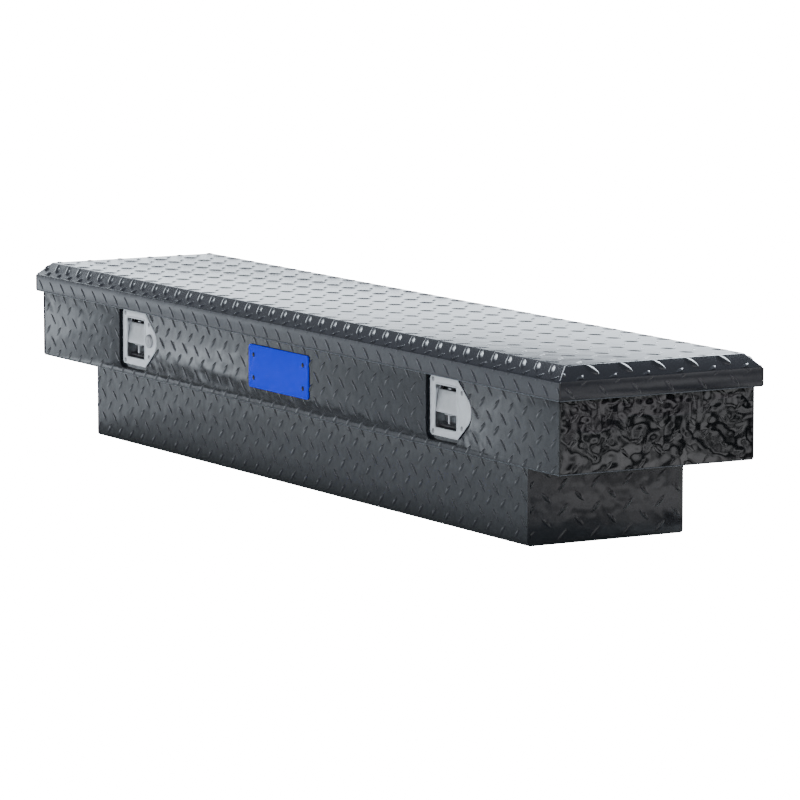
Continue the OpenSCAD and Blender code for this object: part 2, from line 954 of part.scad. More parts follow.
module strut_rod(side) {
    start = tube_floor + 2;
    color("#dadcdf")
        along_strut(side) {
            translate([0, 0, start])
                cylinder(r = strut_r - tube_wall - piston_play, h = piston_l, $fn = 64);
            translate([0, 0, start])
                cylinder(r = strut_rod_r, h = strut_l - start, $fn = 64);
            translate([0, 0, strut_l]) x_bar(top_eye_r, eye_t);
        }
}

// ---------------------------------------------------------------- tray

// Open bin between the ledges, with a lip that slides on each
module tool_tray() {
    lip_d = tray_bin_d + 2 * tray_lip;
    color("#50545c")
        translate([tray_x, 0, 0])
            difference() {
                union() {
                    block([-tray_l / 2, -tray_bin_d / 2, tray_low],
                        [tray_l / 2, tray_bin_d / 2, tray_lip_z + tray_t]);
                    block([-tray_l / 2, -lip_d / 2, tray_lip_z],
                        [tray_l / 2, lip_d / 2, tray_lip_z + tray_t]);
                }
                block([tray_t - tray_l / 2, tray_t - tray_bin_d / 2, tray_low + tray_t],
                    [tray_l / 2 - tray_t, tray_bin_d / 2 - tray_t, tray_lip_z + 2 * tray_t]);
            }
}

// Upright plate in the tray's middle with a grip slot
module tray_handle() {
    top = tray_lip_z + tray_t + handle_h;
    low = tray_low + tray_t;
    color("#50545c")
        translate([tray_x, 0, 0])
            slab(-handle_t / 2, handle_t / 2)
                difference() {
                    translate([-handle_l / 2, low]) square([handle_l, top - low]);
                    translate([0, top - grip_bar - grip_h / 2])
                        round_rect(grip_l, grip_h, 8);
                }
}

tub_shell();
tub_end(left);  // tub_end_left
tub_end(right);  // tub_end_right
front_panel();
back_panel();
wing_floor(left);  // wing_floor_left
wing_floor(right);  // wing_floor_right
end_panel(left);  // end_panel_left
end_panel(right);  // end_panel_right
rim_frame();
weather_seal();
hinge_leaf_body();
hinge_pin();
hinge_rivets();
name_plate();
name_plate_rivets();
latch_recess(left);  // latch_recess_left
latch_recess(right);  // latch_recess_right
latch_gasket(left);  // latch_gasket_left
latch_gasket(right);  // latch_gasket_right
latch_plate(left);  // latch_plate_left
latch_plate(right);  // latch_plate_right
latch_dish(left);  // latch_dish_left
latch_dish(right);  // latch_dish_right
latch_screws(left);  // latch_screws_left
latch_screws(right);  // latch_screws_right
paddle_pins(left);  // paddle_pins_left
paddle_pins(right);  // paddle_pins_right
paddle(left);  // paddle_left
paddle(right);  // paddle_right
latch_housing(left);  // latch_housing_left
latch_housing(right);  // latch_housing_right
hook_pin(left);  // hook_pin_left
hook_pin(right);  // hook_pin_right
hook_spring(left);  // hook_spring_left
hook_spring(right);  // hook_spring_right
latch_hook(left);  // latch_hook_left
latch_hook(right);  // latch_hook_right
lock_barrel();
lock_plug();
strut_mount(left);  // strut_mount_left
strut_mount(right);  // strut_mount_right
strut_cylinder(left);  // strut_cylinder_left
strut_cylinder(right);  // strut_cylinder_right
strut_rod(left);  // strut_rod_left
strut_rod(right);  // strut_rod_right
lid_skin();
lid_pan();
lid_foam();
hinge_leaf_lid();
striker(left);  // striker_left
striker(right);  // striker_right
strut_bracket(left);  // strut_bracket_left
strut_bracket(right);  // strut_bracket_right
tool_tray();
tray_handle();
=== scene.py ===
import math

import bmesh
import bpy
from mathutils import Matrix, Vector
from mathutils.geometry import convex_hull_2d

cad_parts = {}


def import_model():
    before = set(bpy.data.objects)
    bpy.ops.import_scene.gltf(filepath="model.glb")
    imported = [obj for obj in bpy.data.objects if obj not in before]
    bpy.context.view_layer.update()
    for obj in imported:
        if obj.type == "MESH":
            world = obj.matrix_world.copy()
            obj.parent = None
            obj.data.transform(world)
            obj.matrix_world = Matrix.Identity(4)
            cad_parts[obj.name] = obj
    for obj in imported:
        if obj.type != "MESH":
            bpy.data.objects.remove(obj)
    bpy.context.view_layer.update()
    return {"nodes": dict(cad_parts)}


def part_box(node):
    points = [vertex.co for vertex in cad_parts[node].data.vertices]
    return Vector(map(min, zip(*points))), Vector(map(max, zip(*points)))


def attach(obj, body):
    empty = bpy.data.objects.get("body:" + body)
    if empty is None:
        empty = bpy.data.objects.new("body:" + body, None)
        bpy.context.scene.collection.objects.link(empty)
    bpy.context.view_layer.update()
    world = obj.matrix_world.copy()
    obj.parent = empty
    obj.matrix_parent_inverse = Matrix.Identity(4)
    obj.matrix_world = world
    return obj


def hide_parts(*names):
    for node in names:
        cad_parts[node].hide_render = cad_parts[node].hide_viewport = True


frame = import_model()
nodes = frame["nodes"]

# ------------------------------------------------------------------ sizes, metres

# Sheet metal: thickness, then the radii of its folds and cut edges.
SHEET = 0.0016
BEND = 0.0018
FOLD = 0.0013
CUT_EDGE = 0.0004
TUB_BEND = 0.005
TUB_BEND_INSIDE = TUB_BEND - SHEET

# The lid's bevel, and the strips and seams laid on its and the body's edges.
BEVEL_END = 0.0192
BEVEL_SIDE = 0.0219
BEVEL_H = 0.021
SKIRT_EDGE = 0.0006
STRIP_HALF = 0.0010
STRIP_H = 0.0016
STRIP_R = 0.0007
STRIP_DROP = 0.0002
SEAM_HALF = 0.0011
SEAM_INSET = 0.0002
SEAM_R = 0.0005

# Tread lugs: a ridge's flat crest is CREST of the width. PITCH is along and up the face.
LUG_LENGTH = 0.027
LUG_WIDTH = 0.0086
LUG_HEIGHT = 0.00126
LUG_CREST = 0.22
LUG_STRIPS = 6
LUG_SINK = 0.0002
LEAST_LUG = 0.002
PLAIN_LUG = (1.0, 1.0)
BEVEL_LUG = (1.15, 1.7)
WALL_PITCH = (0.0413, 0.040)
TOP_PITCH = (0.052, 0.060)
END_PITCH = (0.059, 0.039)

# Latches, measured from the middle of the window. PLATE_Y is how far the plate is sunk.
PLATE_LEFT = 0.048
PLATE_RIGHT = 0.076
PLATE_H = 0.093
PLATE_Y = 0.0036
PLATE_T = 0.0015
PLATE_EDGE = 0.0005
LEFT_CORNER_R = 0.007
RIGHT_CORNER_R = 0.008
RIGHT_CORNER_IN = 0.044
BULGE_R = 0.026
RECESS_MARGIN = 0.0075
WINDOW_W = 0.065
WINDOW_H = 0.067
WINDOW_R = 0.003
BEAD = 0.003
SCREW_R = 0.004
SCREW_H = 0.0012
SCREW_DRIVE_R = 0.0015
PIN_Y = 0.014
PIN_Z = 0.0287
FLAP_H = 0.0335
FLAP_TILT = 8
FLAP_T = 0.0012
FLAP_CURL = 0.0025
EAR_R = 0.0034
EAR_T = 0.0014
STRAP_HALF = 0.004
DISH_DEPTH = 0.033
LOCK_BARREL_R = 0.0095
LOCK_HOLE_R = 0.00655

# Smaller fittings.
BADGE_CORNER_R = 0.005
BADGE_EDGE = 0.0007
BADGE_OVERLAP = 0.003
RIVET_R = 0.0044
RIVET_H = 0.0018
HINGE_RIVETS = 14
HINGE_RIVET_R = 0.0046
HINGE_RIVET_H = 0.0014
CLAMP_HOLE = 0.036
CLAMP_INSET = 0.070
CLAMP_Y = 0.1
SEAL_W = 0.009
SEAL_BULB_R = 0.0034

NEAR = 1e-6
SIDES = (("left", -1), ("right", 1))

lid_low, lid_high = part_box("lid_skin")
front_low, front_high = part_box("front_panel")
back_low, back_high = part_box("back_panel")
tub_low, tub_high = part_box("tub_shell")
badge_low, badge_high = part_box("name_plate")
bevel_z = lid_high.z - BEVEL_H
front_y, back_y = front_low.y, back_high.y


# ------------------------------------------------------------------ materials


class Socket:
    """An output in a material's nodes. Arithmetic on it adds Math nodes."""

    def __init__(self, tree, out=None):
        self.tree, self.out = tree, out

    def node(self, kind, inputs=None, out=0, stops=(), **settings):
        made = self.tree.nodes.new(kind)
        for key, value in settings.items():
            setattr(made, key, value)
        for stop, (place, grey) in zip(made.color_ramp.elements if stops else (), stops):
            stop.position, stop.color = place, (grey, grey, grey, 1)
        for key, value in (inputs or {}).items():
            if isinstance(value, Socket):
                self.tree.links.new(value.out, made.inputs[key])
            else:
                made.inputs[key].default_value = value
        return Socket(self.tree, made.outputs[out] if made.outputs else None)

    def maths(self, operation, a, b):
        return self.node("ShaderNodeMath", {0: a, 1: b}, operation=operation)

    def __add__(self, other):
        return self.maths("ADD", self, other)

    def __sub__(self, other):
        return self.maths("SUBTRACT", self, other)

    def __rsub__(self, other):
        return self.maths("SUBTRACT", other, self)

    def __mul__(self, other):
        return self.maths("MULTIPLY", self, other)

    __radd__ = __add__
    __rmul__ = __mul__


def shade(colour, by):
    return tuple(min(1.0, c * by) for c in colour) + (1.0,)


def clear_tree(holder):
    holder.use_nodes = True
    holder.node_tree.nodes.clear()
    return Socket(holder.node_tree)


def finish(
    name,
    colour,
    rough,
    tint=0.08,
    swing=0.04,
    broad=9.0,
    wave=0.0,
    smooth=1.0,
    fine=700.0,
    peel=0.0,
    stretch=(1, 1, 1),
    scuffs=0.0,
    fixed=(),
):
    """A finish that drifts slowly in tone, gloss and level, with a fine grain drawn out by stretch."""
    material = bpy.data.materials.new(name)
    start = clear_tree(material)
    place = start.node("ShaderNodeTexCoord", out="Object")
    drift = start.node(
        "ShaderNodeTexNoise", {"Vector": place, "Scale": broad, "Detail": smooth, "Roughness": 0.5}
    )
    drawn = start.node("ShaderNodeMapping", {"Vector": place, "Scale": stretch})
    grain = start.node(
        "ShaderNodeTexNoise", {"Vector": drawn, "Scale": fine, "Detail": 2.0, "Roughness": 0.6}
    )
    tone = start.node(
        "ShaderNodeMix",
        {0: drift * 0.6 + grain * 0.4, 6: shade(colour, 1 - tint), 7: shade(colour, 1 + tint)},
        out=2,
        data_type="RGBA",
    )
    gloss = drift * (2 * swing) + grain * swing + (rough - 1.5 * swing)
    if scuffs:
        marks = start.node(
            "ShaderNodeTexNoise", {"Vector": place, "Scale": 55.0, "Detail": 6.0, "Roughness": 0.7}
        )
        worn = start.node("ShaderNodeValToRGB", {"Fac": marks}, stops=[(0.58, 0.0), (0.74, 1.0)])
        gloss = gloss + worn * scuffs
    normal = start.node(
        "ShaderNodeBump", {"Height": drift * wave + grain * peel, "Distance": 1.0, "Strength": 1.0}
    )
    shader = start.node(
        "ShaderNodeBsdfPrincipled",
        {"Base Color": tone, "Roughness": gloss, "Normal": normal, **dict(fixed)},
    )
    start.node("ShaderNodeOutputMaterial", {"Surface": shader})
    return material


CLEAR = {"Specular IOR Level": 0.62}
METAL = {"Metallic": 1.0}
BRUSHED_X = (0.03, 1.0, 1.0)

body_coat = finish(
    "gunmetal_powder_coat", (0.012, 0.014, 0.018), 0.17, tint=0.12, swing=0.02, broad=42.0,
    wave=0.0012, fine=420.0, peel=0.000012, scuffs=0.03, fixed=CLEAR,
)
# A darker copy of the powder coat for the upper ends: painted shade for the end turned from the light.
# Its higher gloss and deeper waviness are the surface's own.
end_coat_painted_shade = finish(
    "end_powder_coat_painted_shade", (0.010, 0.0105, 0.012), 0.09, tint=0.12, swing=0.02, broad=27.0, smooth=1.0,
    wave=0.0070, fine=420.0, peel=0.00002, fixed=CLEAR,
)
# A lighter, bluer copy of the powder coat for the lid: painted light for the top and bevels, which
# mirror the pale sky.
lid_coat_painted_light = finish(
    "lid_powder_coat_painted_light", (0.016, 0.018, 0.025), 0.19, tint=0.12, swing=0.02, broad=24.0,
    wave=0.0005, fine=420.0, peel=0.000008, fixed=CLEAR,
)
# Lighter grey for the folded edges: a painted highlight for the bright line their bends catch.
painted_fold_highlight = finish(
    "worn_fold_edge", (0.11, 0.12, 0.135), 0.30, tint=0.35, swing=0.05, broad=35.0,
    fine=420.0, peel=0.00002, scuffs=0.1, fixed={"Metallic": 0.35},
)
inner_coat = finish(
    "inner_powder_coat", (0.030, 0.031, 0.036), 0.45, tint=0.15, broad=14.0,
    wave=0.0004, fine=380.0, peel=0.00003, scuffs=0.1,
)
stainless = finish(
    "brushed_stainless", (0.80, 0.81, 0.82), 0.42, tint=0.05, swing=0.05, broad=20.0,
    wave=0.00005, fine=1400.0, peel=0.00001, stretch=BRUSHED_X, fixed=METAL,
)
# A darker copy of the stainless for the finger dishes: painted shade for the recess they sit in. The
# upright pressed grain is the metal's own.
pressed_stainless_painted_shade = finish(
    "pressed_stainless_painted_shade", (0.36, 0.37, 0.38), 0.34, tint=0.06, swing=0.05, broad=30.0,
    wave=0.0001, fine=1200.0, peel=0.00001, stretch=(1.0, 1.0, 0.05), fixed=METAL,
)
fastener_steel = finish(
    "fastener_steel", (0.42, 0.42, 0.43), 0.32, tint=0.08, broad=90.0,
    fine=1600.0, peel=0.000008, fixed=METAL,
)
hinge_steel = finish(
    "hinge_steel", (0.40, 0.41, 0.42), 0.36, tint=0.08, broad=18.0,
    fine=1200.0, peel=0.00001, stretch=BRUSHED_X, scuffs=0.1, fixed=METAL,
)
plate_blue = finish(
    "name_plate_blue", (0.0, 0.03, 1.0), 0.48, tint=0.03, broad=25.0,
    wave=0.00008, fine=900.0, peel=0.000008, fixed={"Specular IOR Level": 0.12},
)
# Black for rivet heads and weld lines, and painted shade at the foot of the latch dishes.
rivet_black = finish(
    "rivet_black", (0.016, 0.016, 0.018), 0.36, broad=120.0, fine=1500.0, peel=0.00001,
)
seal_rubber = finish(
    "seal_rubber", (0.012, 0.012, 0.013), 0.62, tint=0.2, broad=30.0, fine=900.0, peel=0.00003,
)
strut_black = finish(
    "strut_enamel", (0.012, 0.012, 0.014), 0.24, broad=40.0, fine=600.0, peel=0.00001,
    fixed={"Coat Weight": 0.5, "Coat Roughness": 0.08},
)
strut_chrome = finish(
    "rod_chrome", (0.70, 0.71, 0.73), 0.12, tint=0.03, swing=0.02, broad=50.0,
    fine=1800.0, peel=0.000002, stretch=(1.0, 0.1, 0.1), fixed=METAL,
)
tray_aluminium = finish(
    "tray_aluminium", (0.48, 0.49, 0.50), 0.40, tint=0.07, swing=0.06, broad=10.0,
    wave=0.0003, fine=1100.0, peel=0.00001, stretch=BRUSHED_X, scuffs=0.12, fixed=METAL,
)
zinc_steel = finish(
    "zinc_steel", (0.46, 0.45, 0.42), 0.38, tint=0.14, swing=0.08, broad=60.0,
    fine=900.0, peel=0.00001, fixed=METAL,
)
foam_core = finish(
    "foam_core", (0.60, 0.52, 0.30), 0.85, tint=0.18, broad=30.0,
    wave=0.0004, fine=500.0, peel=0.0003,
)

NODE_FINISH = {
    "rim_frame": body_coat,
    "lid_pan": inner_coat,
    "lid_foam": foam_core,
    "hinge_leaf_body": hinge_steel,
    "hinge_leaf_lid": hinge_steel,
    "hinge_pin": hinge_steel,
    "tool_tray": tray_aluminium,
    "tray_handle": tray_aluminium,
    "lock_plug": fastener_steel,
}
for side, _ in SIDES:
    NODE_FINISH.update({
        f"wing_floor_{side}": body_coat,
        f"latch_recess_{side}": body_coat,
        f"latch_gasket_{side}": seal_rubber,
        f"latch_dish_{side}": pressed_stainless_painted_shade,
        f"paddle_pins_{side}": fastener_steel,
        f"latch_housing_{side}": zinc_steel,
        f"hook_pin_{side}": zinc_steel,
        f"latch_hook_{side}": zinc_steel,
        f"hook_spring_{side}": fastener_steel,
        f"striker_{side}": zinc_steel,
        f"strut_bracket_{side}": zinc_steel,
        f"strut_mount_{side}": zinc_steel,
        f"strut_cylinder_{side}": strut_black,
        f"strut_rod_{side}": strut_chrome,
    })
for name, material in NODE_FINISH.items():
    node = nodes[name]
    node.data.materials.clear()
    node.data.materials.append(material)


# ------------------------------------------------------------------ mesh tools


def only(geom, kind):
    return [g for g in geom if isinstance(g, kind)]


def piece(bm, name, body, material, replaces=(), smooth=0.6, at=None):
    """Closes a mesh into an object that rides a body. Edges sharper than smooth stay sharp."""
    if at:
        bmesh.ops.translate(bm, vec=at, verts=bm.verts)
    mesh = bpy.data.meshes.new(name)
    bm.to_mesh(mesh)
    bm.free()
    mesh.materials.append(material)
    mesh.shade_smooth()
    mesh.set_sharp_from_angle(angle=smooth)
    made = bpy.data.objects.new(name, mesh)
    bpy.context.scene.collection.objects.link(made)
    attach(made, body)
    if replaces:
        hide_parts(*replaces)
    return made


def round_edges(bm, edges, radius, segments=2):
    bmesh.ops.bevel(
        bm, geom=edges, offset=radius, offset_type="OFFSET", segments=segments,
        profile=0.5, affect="EDGES", material=-1, clamp_overlap=True,
    )


def fold_edges(bm, test, least=0.5):
    """Edges between two faces at an angle, whose two ends pass the test."""
    return [
        e for e in bm.edges
        if len(e.link_faces) == 2 and e.calc_face_angle() > least
        and all(test(v.co) for v in e.verts)
    ]


def soft_block(bm, low, high, radius=0.0, segments=2):
    """A block from corner to corner with rounded edges."""
    made = bmesh.ops.create_cube(bm, size=1.0)["verts"]
    size = Vector(high) - Vector(low)
    bmesh.ops.scale(bm, vec=size, verts=made)
    bmesh.ops.translate(bm, vec=Vector(low) + size / 2, verts=made)
    if radius:
        round_edges(bm, list({e for v in made for e in v.link_edges}), radius, segments)


def arc(cx, cz, r, start, end, steps):
    angles = [start + (end - start) * i / steps for i in range(steps + 1)]
    return [(cx + r * math.cos(a), cz + r * math.sin(a)) for a in angles]


def rounded(width, height, radius, cx=0.0, cz=0.0, steps=5):
    """Points round a rectangle with rounded corners, anticlockwise."""
    x, z = width / 2 - radius, height / 2 - radius
    points = []
    for k, (sx, sz) in enumerate([(1, 1), (-1, 1), (-1, -1), (1, -1)]):
        quarter = k * math.pi / 2
        points += arc(cx + sx * x, cz + sz * z, radius, quarter, quarter + math.pi / 2, steps)
    return points


def hull(points):
    return [points[i] for i in convex_hull_2d(points)]


def latch_outline(grow):
    """Outline of the latch plate: square at the left, bulged at the right."""
    points = arc(PLATE_RIGHT - BULGE_R, 0, BULGE_R + grow, 0, math.tau, 64)
    for s in (-1, 1):
        for x, r in (
            (LEFT_CORNER_R - PLATE_LEFT, LEFT_CORNER_R), (PLATE_RIGHT - RIGHT_CORNER_IN, RIGHT_CORNER_R),
        ):
            points += arc(x, s * (PLATE_H / 2 - r), r + grow, 0, math.tau, 32)
    return hull(points)


def cut_plate(bm, outer, holes, y0, y1, edge=0.0, segments=2):
    """A flat plate in X and Z from y0 to y1, with holes, its front edges rounded."""
    edges = []
    for loop in [outer, *holes]:
        verts = [bm.verts.new((x, y0, z)) for x, z in loop]
        edges += [bm.edges.new(pair) for pair in zip(verts, verts[1:] + verts[:1])]
    filled = bmesh.ops.triangle_fill(bm, use_beauty=True, use_dissolve=False, edges=edges)
    grown = bmesh.ops.extrude_face_region(bm, geom=only(filled["geom"], bmesh.types.BMFace))
    bmesh.ops.translate(bm, vec=(0, y1 - y0, 0), verts=only(grown["geom"], bmesh.types.BMVert))
    bmesh.ops.recalc_face_normals(bm, faces=bm.faces)
    if edge:
        round_edges(bm, fold_edges(bm, lambda co: abs(co.y - y0) < NEAR), edge, segments)


def turned(bm, profile, steps, centre, axis):
    """A solid of revolution from (radius, along) points."""
    side = Vector((1, 0, 0)) if abs(axis[0]) < 0.5 else Vector((0, 0, 1))
    verts = [bm.verts.new(Vector(centre) + side * r + Vector(axis) * a) for r, a in profile]
    edges = [bm.edges.new(pair) for pair in zip(verts, verts[1:])]
    bmesh.ops.spin(
        bm, geom=verts + edges, cent=centre, axis=axis, angle=math.tau, steps=steps, use_merge=True
    )
    bmesh.ops.remove_doubles(bm, verts=bm.verts, dist=NEAR)
    bmesh.ops.recalc_face_normals(bm, faces=bm.faces)


def domed(bm, centre, axis, radius, height, socket=0.0):
    """A domed head on a flat face, with a round drive recess if socket is given."""
    crown = (radius ** 2 + height ** 2) / (2 * height)
    turn = math.asin(radius / crown)
    dome = [(crown * math.sin(a), crown * math.cos(a) - crown + height)
            for a in (turn * k / 5 for k in range(6))]
    if socket:
        rim = [p for p in dome if p[0] > socket]
        dome = [(0.0, height * 0.25), (socket * 0.8, height * 0.25), (socket, height * 0.92)] + rim
    turned(bm, dome + [(radius, -0.0002), (0.0, -0.0002)], 14, centre, axis)


def add_in(bm, part):
    """Adds one bmesh to another and frees it."""
    mesh = bpy.data.meshes.new("part")
    part.to_mesh(mesh)
    part.free()
    bm.from_mesh(mesh)
    bpy.data.meshes.remove(mesh)


def add_heads(bm, places, axis, radius, height, socket=0.0):
    """A domed head at each place."""
    for place in places:
        head = bmesh.new()
        domed(head, place, axis, radius, height, socket)
        add_in(bm, head)


def swept(bm, points, along):
    """An open sheet drawn from a line of points."""
    verts = [bm.verts.new(p) for p in points]
    edges = [bm.edges.new(pair) for pair in zip(verts, verts[1:])]
    grown = bmesh.ops.extrude_edge_only(bm, edges=edges)["geom"]
    bmesh.ops.translate(bm, vec=along, verts=only(grown, bmesh.types.BMVert))


def drawn_out(bm, outline, along):
    """A solid drawn from a closed outline."""
    section = bm.faces.new([bm.verts.new(p) for p in outline])
    grown = bmesh.ops.extrude_face_region(bm, geom=[section])
    bmesh.ops.translate(bm, vec=along, verts=only(grown["geom"], bmesh.types.BMVert))
    bmesh.ops.recalc_face_normals(bm, faces=bm.faces)


# ------------------------------------------------------------------ tread pattern


def make_lug(bm):
    """One raised lug, long in X and pointed at both ends: a low ridge between two flat flanks."""
    bmesh.ops.create_cube(bm, size=2.0)
    for k in range(1, LUG_STRIPS):
        bmesh.ops.bisect_plane(
            bm, geom=bm.verts[:] + bm.edges[:] + bm.faces[:],
            plane_co=(math.cos(math.pi * k / LUG_STRIPS), 0, 0), plane_no=(1, 0, 0),
        )
    for v in bm.verts:
        x, crest = v.co.x, v.co.z > 0
        wide = max(0.0, 1 - x * x) * (LUG_CREST if crest else 1.0)
        high = LUG_HEIGHT * (1 - x ** 4) if crest else 0.0
        v.co = (x * LUG_LENGTH / 2, math.copysign(wide, v.co.y) * LUG_WIDTH / 2, high - LUG_SINK)
    bmesh.ops.remove_doubles(bm, verts=bm.verts, dist=NEAR)
    bmesh.ops.recalc_face_normals(bm, faces=bm.faces)


def face(at, u, v, outline, pitch, start=(0, 0), holes=(), size=PLAIN_LUG):
    """One flat face that carries lugs. u runs to the right and v up as seen from outside."""
    return {
        "at": Vector(at), "u": Vector(u).normalized(), "v": Vector(v).normalized(),
        "outline": outline, "pitch": pitch, "start": start, "holes": holes, "size": size,
    }


def span(lo_u, lo_v, hi_u, hi_v):
    return [(lo_u, lo_v), (hi_u, lo_v), (hi_u, hi_v), (lo_u, hi_v)]


def sides_of(outline):
    """Each side of a convex outline as a point on it and its outward direction."""
    middle = Vector((sum(p[0] for p in outline), sum(p[1] for p in outline))) / len(outline)
    sides = []
    for a, b in zip(outline, outline[1:] + outline[:1]):
        a, b = Vector(a), Vector(b)
        out = Vector((b.y - a.y, a.x - b.x))
        if out.length < 1e-9:
            continue
        out.normalize()
        if out.dot(a - middle) < 0:
            out = -out
        sides.append((a, out))
    return sides


def in_space(f, p):
    """A direction or step given in a face's own u and v."""
    return f["u"] * p.x + f["v"] * p.y


def lug_places(f):
    """The middle and direction of each lug on a face's lattice, in the face's own u and v."""
    us, vs = [p[0] for p in f["outline"]], [p[1] for p in f["outline"]]
    pu, pv = f["pitch"]
    for lean in (-1, 1):
        su = f["start"][0] + (pu / 2 if lean > 0 else 0)
        sv = f["start"][1] + (pv / 2 if lean > 0 else 0)
        for i in range(math.floor((min(us) - su) / pu), math.ceil((max(us) - su) / pu) + 1):
            for j in range(math.floor((min(vs) - sv) / pv), math.ceil((max(vs) - sv) / pv) + 1):
                yield Vector((su + i * pu, sv + j * pv)), Vector((1, lean)).normalized()


def lug_cuts(f, outline, holes, centre, along):
    """The sides that cut a lug short, or None when next to nothing of it would be left."""
    half, half_wide = LUG_LENGTH / 2 * f["size"][0], LUG_WIDTH / 2 * f["size"][1]
    across = Vector((-along.y, along.x))
    near = [((point - centre).dot(out), point, out) for point, out in outline]
    for hole in holes:
        depth, point, out = max(((centre - p).dot(o), p, o) for p, o in hole)
        near.append((depth, point, -out))
    cuts = []
    for room, point, out in near:
        reach = max(abs(along.dot(out)) * half, abs(across.dot(out)) * half_wide)
        if room < LEAST_LUG - reach:
            return None
        if room < reach:
            cuts.append((point, out))
    return cuts


def lay_lugs(bm, lug, f):
    """Lays the lattice of lugs on one face, cut off at its outline and at its holes."""
    normal = f["u"].cross(f["v"])
    grown = Matrix.Diagonal((*f["size"], f["size"][1], 1.0))
    outline, holes = sides_of(f["outline"]), [sides_of(h) for h in f["holes"]]
    for centre, lean in lug_places(f):
        cuts = lug_cuts(f, outline, holes, centre, lean)
        if cuts is None:
            continue
        along = in_space(f, lean)
        turn = Matrix((along, normal.cross(along), normal)).transposed().to_4x4()
        seat = Matrix.Translation(f["at"] + in_space(f, centre))
        geom = bmesh.ops.duplicate(bm, geom=lug)["geom"]
        bmesh.ops.transform(bm, matrix=seat @ turn @ grown, verts=only(geom, bmesh.types.BMVert))
        for point, out in cuts:
            cut = bmesh.ops.bisect_plane(
                bm, geom=geom, clear_outer=True,
                plane_co=f["at"] + in_space(f, point), plane_no=in_space(f, out),
            )
            rim = only(cut["geom_cut"], bmesh.types.BMEdge)
            capped = bmesh.ops.holes_fill(bm, edges=rim, sides=0)["faces"] if rim else []
            geom = [g for g in cut["geom"] if g.is_valid] + capped


def tread(name, body, material, faces):
    bm = bmesh.new()
    make_lug(bm)
    lug = bm.verts[:] + bm.edges[:] + bm.faces[:]
    for f in faces:
        lay_lugs(bm, lug, f)
    bmesh.ops.delete(bm, geom=only(lug, bmesh.types.BMVert), context="VERTS")
    return piece(bm, name, body, material, smooth=1.0)


# ------------------------------------------------------------------ lid


def lid_shell():
    """The lid's folded sheet: top, bevel and skirt in one, open underneath."""
    bm = bmesh.new()
    hx, hy = lid_high.x, lid_high.y
    t = SHEET
    outer = [
        (hx - BEVEL_END, hy - BEVEL_SIDE, lid_high.z),
        (hx, hy, bevel_z),
        (hx, hy, lid_low.z),
        (hx - t, hy - t, lid_low.z),
        (hx - t, hy - t, bevel_z - t / 2),
        (hx - BEVEL_END - t, hy - BEVEL_SIDE - t, lid_high.z - t),
    ]
    made = bmesh.ops.create_grid(bm, x_segments=1, y_segments=1, size=1.0)["verts"]
    ring = bm.edges[:]
    for k, (x, y, z) in enumerate(outer):
        if k:
            made = only(bmesh.ops.extrude_edge_only(bm, edges=ring)["geom"], bmesh.types.BMVert)
            ring = [e for e in bm.edges if all(v in made for v in e.verts)]
        for v in made:
            v.co = (math.copysign(x, v.co.x), math.copysign(y, v.co.y), z)
    bmesh.ops.holes_fill(bm, edges=ring, sides=0)
    bmesh.ops.recalc_face_normals(bm, faces=bm.faces)
    round_edges(bm, fold_edges(bm, lambda co: co.z < lid_low.z + NEAR), SKIRT_EDGE)
    shell = fold_edges(
        bm, lambda co: co.z > lid_low.z + 0.002 and (
            abs(co.x) > hx - 1e-5 or abs(co.y) > hy - 1e-5 or co.z > lid_high.z - 1e-5
        ), least=0.3,
    )
    round_edges(bm, shell, BEND, 3)
    return piece(bm, "lid_shell", "lid", lid_coat_painted_light, ["lid_skin"])


def lid_faces():
    """The lid's top, then the bevel and the skirt on each side and each end."""
    hx, hy, top = lid_high.x - BEND, lid_high.y - BEND, lid_high.z
    inner_x, inner_y = hx - BEVEL_END, hy - BEVEL_SIDE
    mid_z, skirt_z = top - BEVEL_H / 2, (lid_low.z + bevel_z) / 2
    skirt_h = (bevel_z - lid_low.z) / 2 - BEND
    up = (0, 0, 1)
    top_span = span(-inner_x, -inner_y, inner_x, inner_y)
    faces = [face((0, 0, top), (1, 0, 0), (0, 1, 0), top_span, TOP_PITCH)]
    for s in (-1, 1):
        over_side, over_end = Vector((0, s * lid_high.y, 0)), Vector((s * lid_high.x, 0, 0))
        side = ((-s, 0, 0), over_side, hx, inner_x, BEVEL_SIDE, WALL_PITCH, 0.006, 0.010)
        end = ((0, s, 0), over_end, hy, inner_y, BEVEL_END, END_PITCH, 0.0, 0.012)
        for way, out, reach, inner, bevel, pitch, first, skirt_first in (side, end):
            half = math.hypot(bevel, BEVEL_H) / 2 - BEND
            inward = -bevel * out.normalized()
            faces.append(face(
                out + inward / 2 + Vector((0, 0, mid_z)), way, inward + Vector((0, 0, BEVEL_H)),
                [(-reach, -half), (reach, -half), (inner, half), (-inner, half)],
                pitch, (first, 0.004), size=BEVEL_LUG,
            ))
            faces.append(face(
                out + Vector((0, 0, skirt_z)), way, up, span(-reach, -skirt_h, reach, skirt_h),
                pitch, (skirt_first, -0.003),
            ))
    return faces


def fold_strip(name, body, low, high, z):
    """The narrow folded edge along the foot of a sheet, painted lighter than the rest as a highlight
    line.
    """
    bm = bmesh.new()
    first, last, rise = low.xy + Vector((0.001, 0.001)), high.xy - Vector((0.001, 0.001)), z + STRIP_H
    for y in (low.y, high.y):
        soft_block(bm, (first.x, y - STRIP_HALF, z), (last.x, y + STRIP_HALF, rise), STRIP_R)
    for x in (low.x, high.x):
        soft_block(bm, (x - STRIP_HALF, first.y, z), (x + STRIP_HALF, last.y, rise), STRIP_R)
    piece(bm, name, body, painted_fold_highlight, smooth=0.9)


